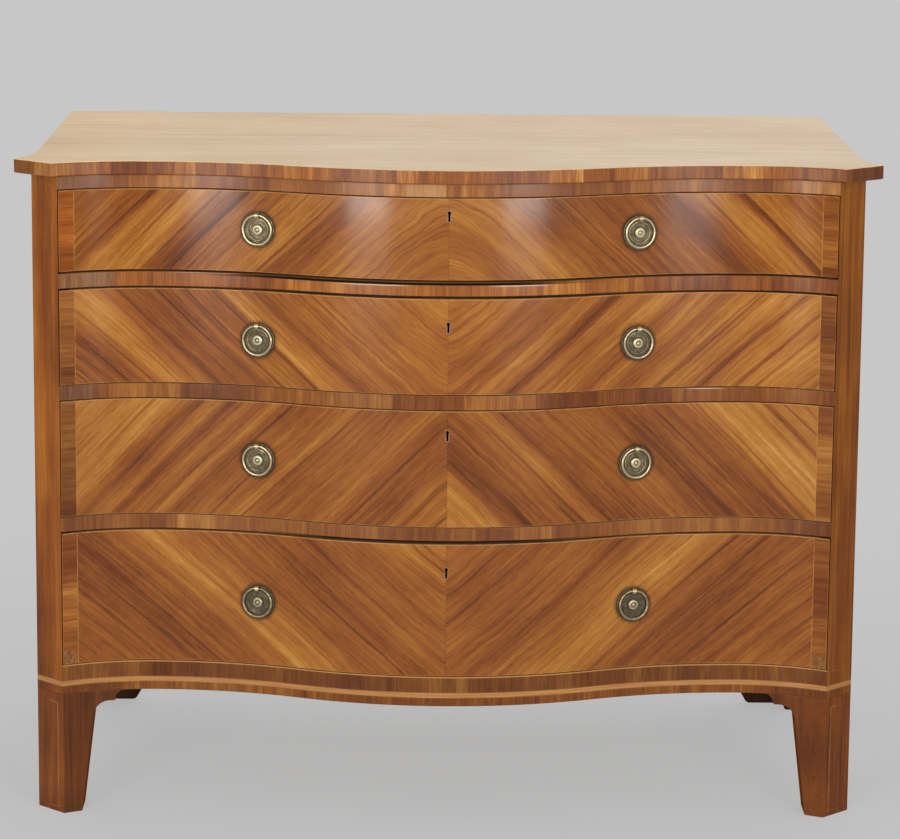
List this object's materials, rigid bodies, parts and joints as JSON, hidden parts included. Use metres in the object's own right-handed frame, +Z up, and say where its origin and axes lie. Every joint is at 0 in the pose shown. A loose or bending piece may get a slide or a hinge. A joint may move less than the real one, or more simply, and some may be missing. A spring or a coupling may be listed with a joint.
{
  "type": "serpentine chest of drawers",
  "caption": "Serpentine-front chest with graduated drawers, canted corners and bracket feet; drawers slide out, ring pulls swing up and lock bolts rise.",
  "frame": {"origin": "on the floor, under the middle of the overall plan", "axes": "+Z up; the drawers face -Y; +X runs along the width, to the right of someone facing the drawers"},
  "size_m": [1.069, 0.6312, 0.826],
  "materials": {
    "drawer_veneer": "polished diagonal veneer",
    "crossband": "polished crossbanding",
    "corner_veneer": "polished vertical veneer",
    "faded_top": "sun-faded polished veneer",
    "case_side": "polished vertical veneer",
    "foot_wood": "polished, darker with age",
    "carcass_softwood": "raw, aged",
    "drawer_lining": "raw oak, aged",
    "aged_brass": "aged, worn bright on the raised parts",
    "lock_brass": "dull"
  },
  "bodies": {
    "case": {"top_board": "faded_top", "top_rail": "crossband", "divider_rail_1": "crossband", "divider_rail_2": "crossband", "divider_rail_3": "crossband", "base_rail": "crossband", "right_corner_post": "corner_veneer", "left_corner_post": "corner_veneer", "right_side_panel": "case_side", "left_side_panel": "case_side", "back_boards": "carcass_softwood", "bottom_board": "carcass_softwood", "drawer_runners": "carcass_softwood", "dustboards": "carcass_softwood", "drawer_stops": "carcass_softwood", "front_right_foot": "foot_wood", "front_left_foot": "foot_wood", "rear_right_foot": "foot_wood", "rear_left_foot": "foot_wood", "glue_blocks": "carcass_softwood"},
    "drawer_1": {"drawer_1_front": "drawer_veneer", "drawer_1_sides": "drawer_lining", "drawer_1_back": "drawer_lining", "drawer_1_bottom": "drawer_lining", "drawer_1_lock": "lock_brass", "drawer_1_handle_plates": "aged_brass", "drawer_1_handle_bolts": "aged_brass"},
    "ring_1_left": {"drawer_1_ring_left": "aged_brass"},
    "ring_1_right": {"drawer_1_ring_right": "aged_brass"},
    "lock_bolt_1": {"drawer_1_lock_bolt": "lock_brass"},
    "drawer_2": {"drawer_2_front": "drawer_veneer", "drawer_2_sides": "drawer_lining", "drawer_2_back": "drawer_lining", "drawer_2_bottom": "drawer_lining", "drawer_2_lock": "lock_brass", "drawer_2_handle_plates": "aged_brass", "drawer_2_handle_bolts": "aged_brass"},
    "ring_2_left": {"drawer_2_ring_left": "aged_brass"},
    "ring_2_right": {"drawer_2_ring_right": "aged_brass"},
    "lock_bolt_2": {"drawer_2_lock_bolt": "lock_brass"},
    "drawer_3": {"drawer_3_front": "drawer_veneer", "drawer_3_sides": "drawer_lining", "drawer_3_back": "drawer_lining", "drawer_3_bottom": "drawer_lining", "drawer_3_lock": "lock_brass", "drawer_3_handle_plates": "aged_brass", "drawer_3_handle_bolts": "aged_brass"},
    "ring_3_left": {"drawer_3_ring_left": "aged_brass"},
    "ring_3_right": {"drawer_3_ring_right": "aged_brass"},
    "lock_bolt_3": {"drawer_3_lock_bolt": "lock_brass"},
    "drawer_4": {"drawer_4_front": "drawer_veneer", "drawer_4_sides": "drawer_lining", "drawer_4_back": "drawer_lining", "drawer_4_bottom": "drawer_lining", "drawer_4_lock": "lock_brass", "drawer_4_handle_plates": "aged_brass", "drawer_4_handle_bolts": "aged_brass"},
    "ring_4_left": {"drawer_4_ring_left": "aged_brass"},
    "ring_4_right": {"drawer_4_ring_right": "aged_brass"},
    "lock_bolt_4": {"drawer_4_lock_bolt": "lock_brass"}
  },
  "joints": [
    {"name": "drawer_1_slide", "type": "slide", "parent": "case", "child": "drawer_1", "axis": [0, -1, 0], "range_m": [0, 0.36]},
    {"name": "ring_1_left_swing", "type": "hinge", "parent": "drawer_1", "child": "ring_1_left", "pos_m": [-0.23542, -0.25286, 0.76075], "axis": [-0.9592, 0.2826, 0], "range_deg": [0, 165]},
    {"name": "ring_1_right_swing", "type": "hinge", "parent": "drawer_1", "child": "ring_1_right", "pos_m": [0.23542, -0.25286, 0.76075], "axis": [-0.9592, -0.2826, 0], "range_deg": [0, 165]},
    {"name": "lock_1_throw", "type": "slide", "parent": "drawer_1", "child": "lock_bolt_1", "axis": [0, 0, 1], "range_m": [0, 0.007]},
    {"name": "drawer_2_slide", "type": "slide", "parent": "case", "child": "drawer_2", "axis": [0, -1, 0], "range_m": [0, 0.36]},
    {"name": "ring_2_left_swing", "type": "hinge", "parent": "drawer_2", "child": "ring_2_left", "pos_m": [-0.23542, -0.25286, 0.62326], "axis": [-0.9592, 0.2826, 0], "range_deg": [0, 165]},
    {"name": "ring_2_right_swing", "type": "hinge", "parent": "drawer_2", "child": "ring_2_right", "pos_m": [0.23542, -0.25286, 0.62326], "axis": [-0.9592, -0.2826, 0], "range_deg": [0, 165]},
    {"name": "lock_2_throw", "type": "slide", "parent": "drawer_2", "child": "lock_bolt_2", "axis": [0, 0, 1], "range_m": [0, 0.007]},
    {"name": "drawer_3_slide", "type": "slide", "parent": "case", "child": "drawer_3", "axis": [0, -1, 0], "range_m": [0, 0.36]},
    {"name": "ring_3_left_swing", "type": "hinge", "parent": "drawer_3", "child": "ring_3_left", "pos_m": [-0.23542, -0.25286, 0.47225], "axis": [-0.9592, 0.2826, 0], "range_deg": [0, 165]},
    {"name": "ring_3_right_swing", "type": "hinge", "parent": "drawer_3", "child": "ring_3_right", "pos_m": [0.23542, -0.25286, 0.47225], "axis": [-0.9592, -0.2826, 0], "range_deg": [0, 165]},
    {"name": "lock_3_throw", "type": "slide", "parent": "drawer_3", "child": "lock_bolt_3", "axis": [0, 0, 1], "range_m": [0, 0.007]},
    {"name": "drawer_4_slide", "type": "slide", "parent": "case", "child": "drawer_4", "axis": [0, -1, 0], "range_m": [0, 0.36]},
    {"name": "ring_4_left_swing", "type": "hinge", "parent": "drawer_4", "child": "ring_4_left", "pos_m": [-0.23542, -0.25286, 0.29125], "axis": [-0.9592, 0.2826, 0], "range_deg": [0, 165]},
    {"name": "ring_4_right_swing", "type": "hinge", "parent": "drawer_4", "child": "ring_4_right", "pos_m": [0.23542, -0.25286, 0.29125], "axis": [-0.9592, -0.2826, 0], "range_deg": [0, 165]},
    {"name": "lock_4_throw", "type": "slide", "parent": "drawer_4", "child": "lock_bolt_4", "axis": [0, 0, 1], "range_m": [0, 0.007]}
  ]
}
